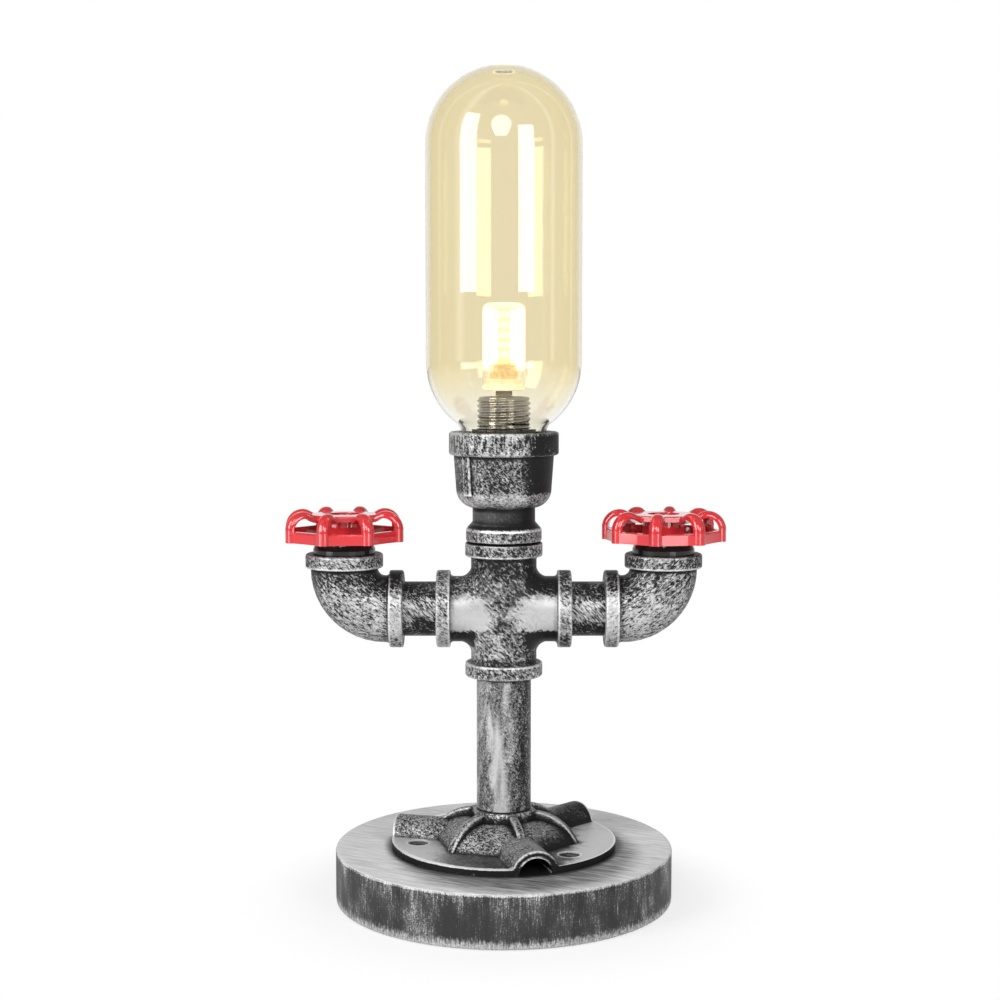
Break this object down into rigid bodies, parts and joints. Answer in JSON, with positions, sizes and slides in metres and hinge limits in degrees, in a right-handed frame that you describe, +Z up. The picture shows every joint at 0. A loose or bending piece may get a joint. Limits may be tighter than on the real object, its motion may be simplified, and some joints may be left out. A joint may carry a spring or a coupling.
{
  "type": "industrial pipe table lamp",
  "caption": "Table lamp of screwed iron pipe on a round wooden base, with red handwheels on side elbows and a tinted glass capsule over a bulb.",
  "frame": {"origin": "centre of the felt's underside, on the table, on the axis of the riser pipe", "axes": "+Z up along the riser pipe and the glass; +X towards the right handwheel; -Y is the front, the side away from the cord's hole"},
  "size_m": [0.1719, 0.1324, 0.3242],
  "materials": {
    "painted_wood": "charcoal paint with dry-brushed silver on the side, brushed grey top",
    "felt": "black felt",
    "fibreboard": "raw hardboard",
    "black_plastic": "matt black",
    "clear_plastic": "milky terminal plastic",
    "brass": "turned",
    "zinc_steel": "zinc plated",
    "brown_insulation": "brown silicone",
    "blue_insulation": "blue silicone",
    "glass_fibre_sleeve": "woven sleeve",
    "antiqued_iron": "black with dry-brushed silver on the high spots",
    "antiqued_pipe": "black pipe, brushed silver streaks",
    "black_screw": "black oxide",
    "black_enamel": "gloss black",
    "red_enamel": "gloss red enamel",
    "spindle_steel": "turned steel",
    "fibre": "red vulcanised fibre",
    "nickel": "nickel plated thread",
    "ceramic": "glazed steatite",
    "spring_bronze": "contact bronze",
    "silicone": "translucent silicone",
    "amber_glass": "clear glass with a champagne tint",
    "clear_cover": "clear bulb cover",
    "bulb_white": "white",
    "led_board": "white solder mask",
    "led_phosphor": "phosphor"
  },
  "bodies": {
    "lamp_frame": {"base_disc": "painted_wood", "felt_pad": "felt", "base_cover": "fibreboard", "cord_bush": "black_plastic", "cover_screws": "zinc_steel", "terminal_block": "clear_plastic", "terminal_tubes": "brass", "terminal_screws": "zinc_steel", "live_lead": "brown_insulation", "neutral_lead": "blue_insulation", "lead_sleeve": "glass_fibre_sleeve", "floor_flange": "antiqued_iron", "flange_screws": "black_screw", "riser_pipe": "antiqued_pipe", "pipe_cross": "antiqued_iron", "close_nipple": "antiqued_pipe", "reducing_socket": "antiqued_iron", "holder_plate": "zinc_steel", "holder_sleeve": "nickel", "holder_insert": "ceramic", "holder_contacts": "spring_bronze", "lower_ring_nut": "zinc_steel", "shade_ring": "black_plastic", "shade_gasket": "silicone", "left_nipple": "antiqued_pipe", "left_elbow": "antiqued_iron", "left_plug": "black_enamel", "left_friction_washer": "fibre", "right_nipple": "antiqued_pipe", "right_elbow": "antiqued_iron", "right_plug": "black_enamel", "right_friction_washer": "fibre"},
    "left_wheel": {"left_spindle": "spindle_steel", "left_spindle_clip": "spindle_steel", "left_handwheel": "red_enamel", "left_wheel_washer": "zinc_steel", "left_wheel_screw": "zinc_steel"},
    "right_wheel": {"right_spindle": "spindle_steel", "right_spindle_clip": "spindle_steel", "right_handwheel": "red_enamel", "right_wheel_washer": "zinc_steel", "right_wheel_screw": "zinc_steel"},
    "shade": {"glass_shade": "amber_glass"},
    "bulb": {"bulb_cover": "clear_cover", "bulb_base": "bulb_white", "bulb_pins": "zinc_steel", "led_board": "led_board", "led_chips": "led_phosphor"}
  },
  "joints": [
    {"name": "left_wheel_turn", "type": "hinge", "parent": "lamp_frame", "child": "left_wheel", "pos_m": [-0.0623, 0, 0.1428], "axis": [0, 0, 1], "continuous": true},
    {"name": "right_wheel_turn", "type": "hinge", "parent": "lamp_frame", "child": "right_wheel", "pos_m": [0.0623, 0, 0.1428], "axis": [0, 0, 1], "continuous": true},
    {"name": "shade_lift", "type": "slide", "parent": "lamp_frame", "child": "shade", "axis": [0, 0, 1], "range_m": [0, 0.07]},
    {"name": "bulb_pull", "type": "slide", "parent": "lamp_frame", "child": "bulb", "axis": [0, 0, 1], "range_m": [0, 0.025]}
  ]
}
